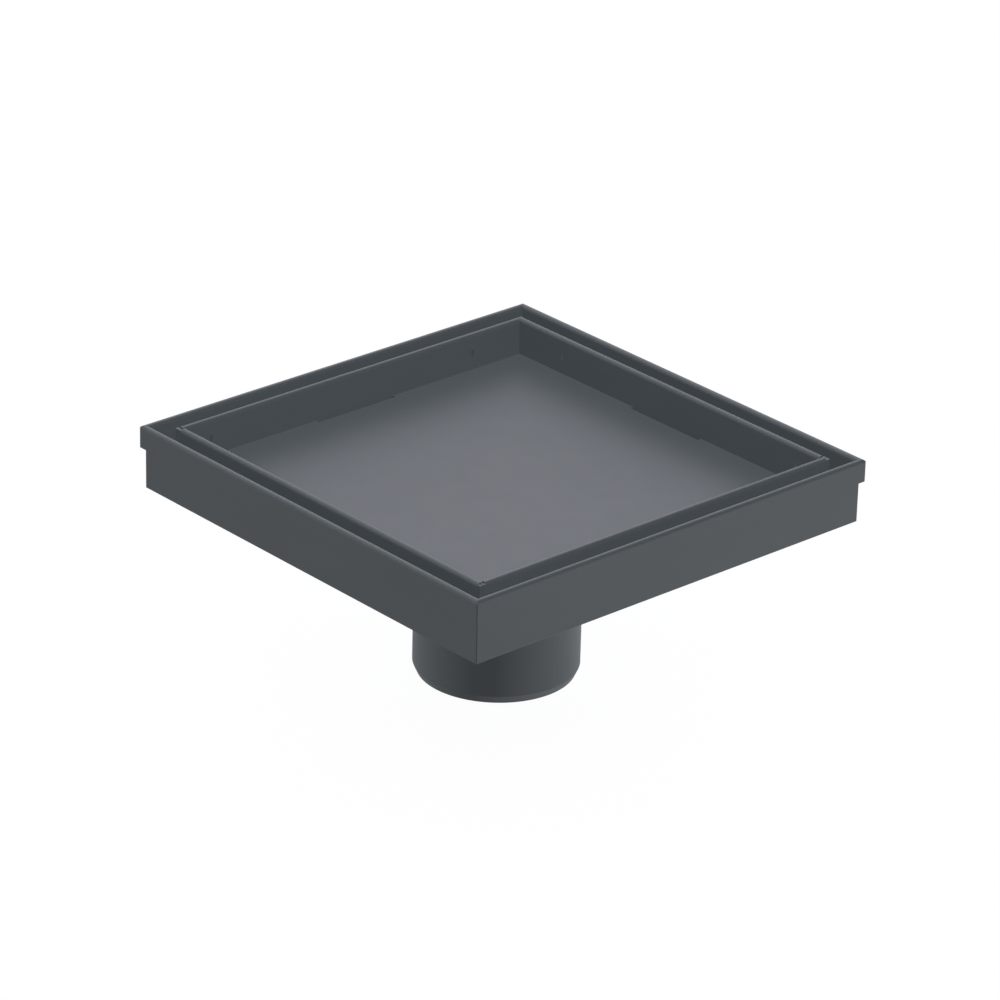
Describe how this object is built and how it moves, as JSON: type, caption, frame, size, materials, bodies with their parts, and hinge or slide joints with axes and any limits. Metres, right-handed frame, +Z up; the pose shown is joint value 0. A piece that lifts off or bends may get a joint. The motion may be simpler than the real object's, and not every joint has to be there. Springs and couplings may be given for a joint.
{
  "type": "tile insert floor drain",
  "caption": "Square floor drain with a folded, hemmed frame, a round outlet spigot below and a lift-out folded tray that takes a cut floor tile flush with the rim.",
  "frame": {"origin": "centre of the outlet spigot's lower end", "axes": "+Z up along the outlet's axis; X and Y square to the frame's sides"},
  "size_m": [0.15, 0.15, 0.073],
  "materials": {
    "coated_steel": "satin gunmetal grey coat on sheet steel",
    "foot_rubber": "matt black"
  },
  "bodies": {
    "root": {"frame_pan": "coated_steel", "outlet_spigot": "coated_steel", "tile_tray": "coated_steel", "tray_foot_1": "foot_rubber", "tray_foot_2": "foot_rubber", "tray_foot_3": "foot_rubber", "tray_foot_4": "foot_rubber"}
  },
  "joints": []
}
